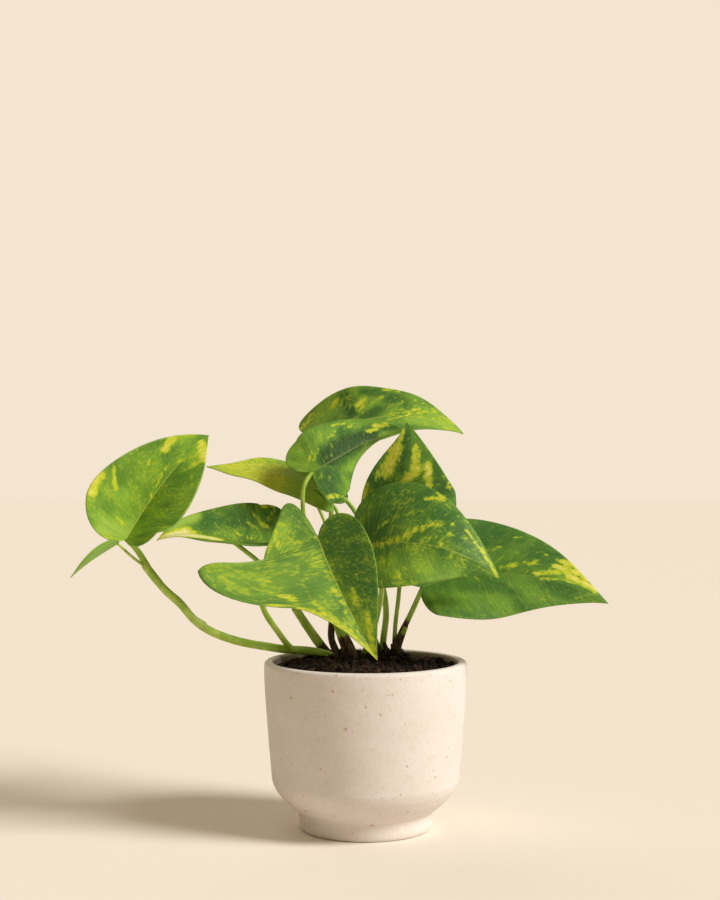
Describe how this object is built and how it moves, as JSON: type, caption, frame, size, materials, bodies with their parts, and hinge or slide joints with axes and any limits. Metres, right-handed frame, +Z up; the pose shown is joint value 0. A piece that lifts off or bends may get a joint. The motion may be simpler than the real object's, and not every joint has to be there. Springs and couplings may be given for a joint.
{
  "type": "potted golden pothos",
  "caption": "Trailing house plant with heart-shaped, yellow-marbled leaves on slender stalks, growing from dark soil in a round stoneware pot with a narrow foot.",
  "frame": {"origin": "centre of the underside of the pot's foot, on the surface that the pot stands on", "axes": "+Z up, +X to the right and -Y towards the viewer as the picture shows the plant"},
  "size_m": [0.3102, 0.148, 0.2642],
  "materials": {
    "stoneware": "matte",
    "soil": "matte",
    "stalk": "satin",
    "leaf": "satin"
  },
  "bodies": {
    "root": {"pot": "stoneware", "soil": "soil", "stalk_runner": "stalk", "stalk_left": "stalk", "stalk_centre": "stalk", "stalk_back": "stalk", "stalk_middle": "stalk", "stalk_right": "stalk", "leaf_far_left": "leaf", "leaf_young": "leaf", "leaf_upper_left": "leaf", "leaf_top_back": "leaf", "leaf_top_front": "leaf", "leaf_upright": "leaf", "leaf_centre_right": "leaf", "leaf_front": "leaf", "leaf_left": "leaf", "leaf_right": "leaf", "leaf_back_left": "leaf", "leaf_back": "leaf", "leaf_back_upper": "leaf"}
  },
  "joints": []
}
